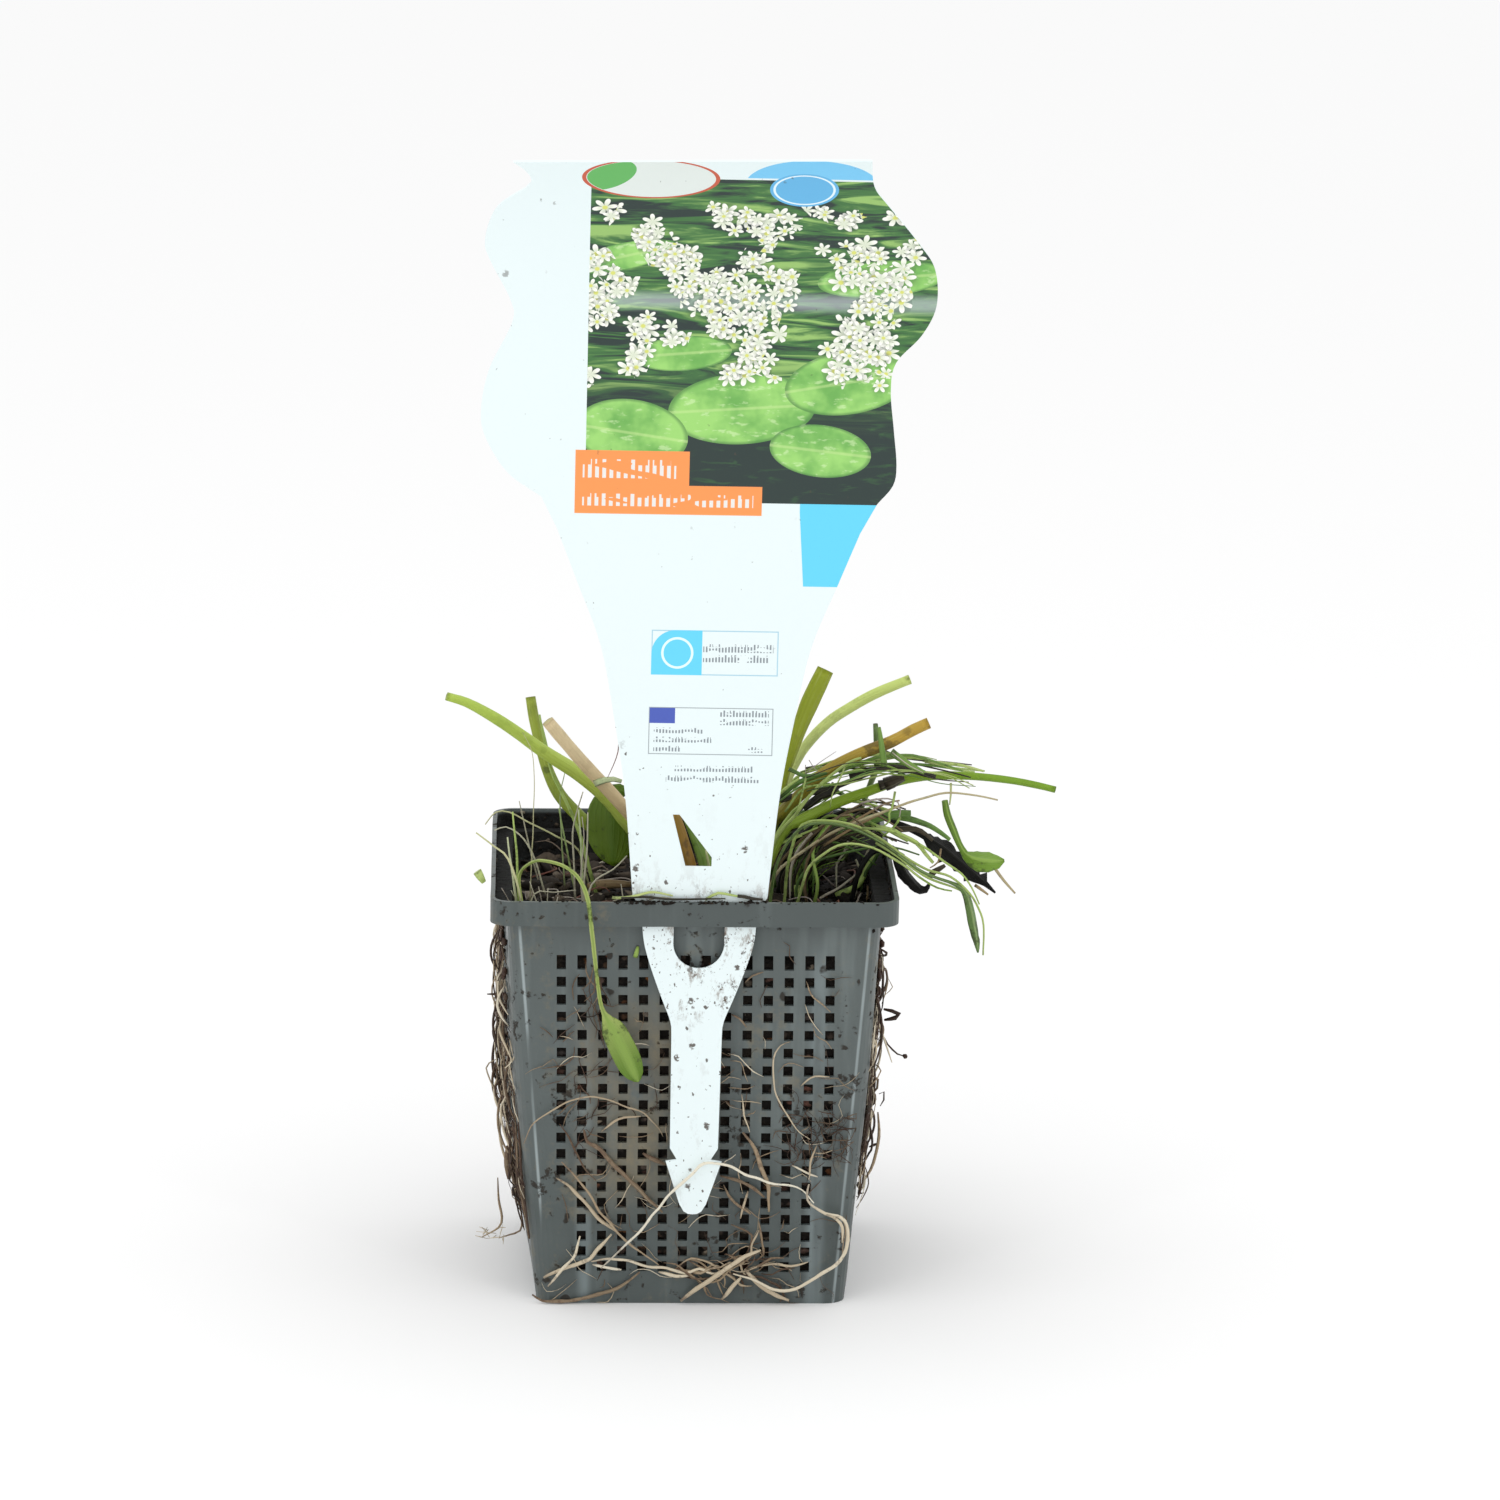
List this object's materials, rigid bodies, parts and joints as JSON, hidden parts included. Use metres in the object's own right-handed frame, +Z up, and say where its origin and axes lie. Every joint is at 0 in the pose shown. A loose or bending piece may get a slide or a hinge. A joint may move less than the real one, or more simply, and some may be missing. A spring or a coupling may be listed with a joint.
{
  "type": "potted water hawthorn",
  "caption": "Square mesh pond pot of dark compost with a cut-back water hawthorn, trailing leaves and roots, and a tall wavy-edged plant label.",
  "frame": {"origin": "centre of the pot's underside", "axes": "+Z up along the label and the pot's height; the label stands on the -Y side; +X is right when facing the label"},
  "size_m": [0.1682, 0.1226, 0.3181],
  "materials": {
    "pot": "semi-matt grey moulded plastic, dusty",
    "compost": "moist dark compost with bark",
    "label": "printed white plastic sheet",
    "green_leaf": "fresh green plant tissue, slightly waxy",
    "olive_stalk": "olive plant tissue",
    "dry_stalk": "tan dry plant tissue",
    "dead_leaf": "near-black wet dead leaf",
    "root": "fibrous pale to brown root"
  },
  "bodies": {
    "root": {"compost": "compost", "leaf_bright": "green_leaf", "leaf_broad_left": "green_leaf", "leaf_dead_curled": "dead_leaf", "leaf_dead_dark": "dead_leaf", "leaf_hanging_front": "green_leaf", "leaf_narrow_hanging": "green_leaf", "plant_label": "label", "pot": "pot", "root_front_a": "root", "root_front_b": "root", "root_front_c": "root", "root_front_d": "root", "root_front_e": "root", "root_front_f": "root", "root_front_g": "root", "root_front_h": "root", "root_front_i": "root", "root_front_j": "root", "root_front_k": "root", "root_front_l": "root", "root_mat_left": "root", "root_mat_right": "root", "sheath_centre": "dry_stalk", "shoot_left_green": "green_leaf", "shoot_left_pale": "dry_stalk", "shoot_thin_left": "green_leaf", "stalk_brown_right": "dry_stalk", "stalk_green_left": "green_leaf", "stalk_green_right": "green_leaf", "stalk_long_right": "green_leaf", "stalk_olive_left": "olive_stalk", "stalk_olive_right": "olive_stalk", "stalk_tan_left": "dry_stalk", "strand_arc_long": "green_leaf", "strand_arc_low": "green_leaf", "strand_left_arch": "dry_stalk", "strand_left_tall": "dry_stalk", "strand_tan": "dry_stalk", "strand_upper": "green_leaf", "stub_right": "green_leaf", "thatch_right": "olive_stalk"}
  },
  "joints": []
}
